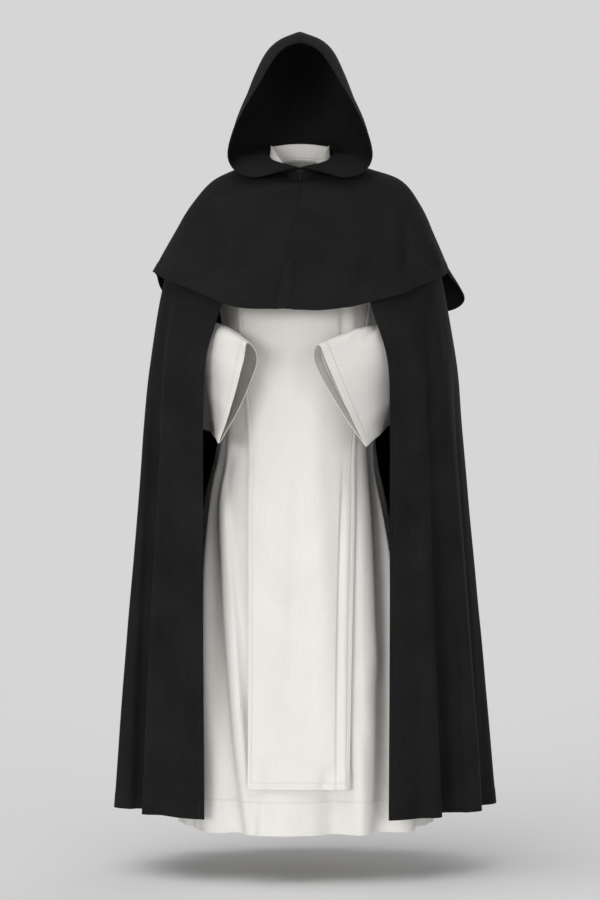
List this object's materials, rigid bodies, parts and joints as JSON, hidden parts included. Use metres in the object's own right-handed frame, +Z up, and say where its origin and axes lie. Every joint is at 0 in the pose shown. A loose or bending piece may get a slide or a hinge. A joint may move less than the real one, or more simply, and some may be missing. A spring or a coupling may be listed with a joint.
{
  "type": "friar habit",
  "caption": "Worn friar's habit, hollow: white tunic with wide sleeves and a neckband, white scapular, black open mantle, and black shoulder cape with its hood up.",
  "frame": {"origin": "on the wearer's shoulder line, in the middle of the neck opening, where the garment hangs from the shoulders", "axes": "+Z up along the wearer, -Y the garment's front, +X the wearer's left"},
  "size_m": [0.8058, 0.5892, 1.6798],
  "materials": {
    "white_wool": "matte off-white wool",
    "black_wool": "matte black wool",
    "black_wire": "black lacquered wire"
  },
  "bodies": {
    "root": {"tunic_front": "white_wool", "tunic_back": "white_wool", "sleeve_left": "white_wool", "sleeve_right": "white_wool", "neckband": "white_wool", "scapular_front": "white_wool", "scapular_back": "white_wool", "mantle_left": "black_wool", "mantle_right": "black_wool", "cape_left": "black_wool", "cape_right": "black_wool", "hood_left": "black_wool", "hood_right": "black_wool", "throat_hook": "black_wire", "throat_eye": "black_wire"}
  },
  "joints": []
}
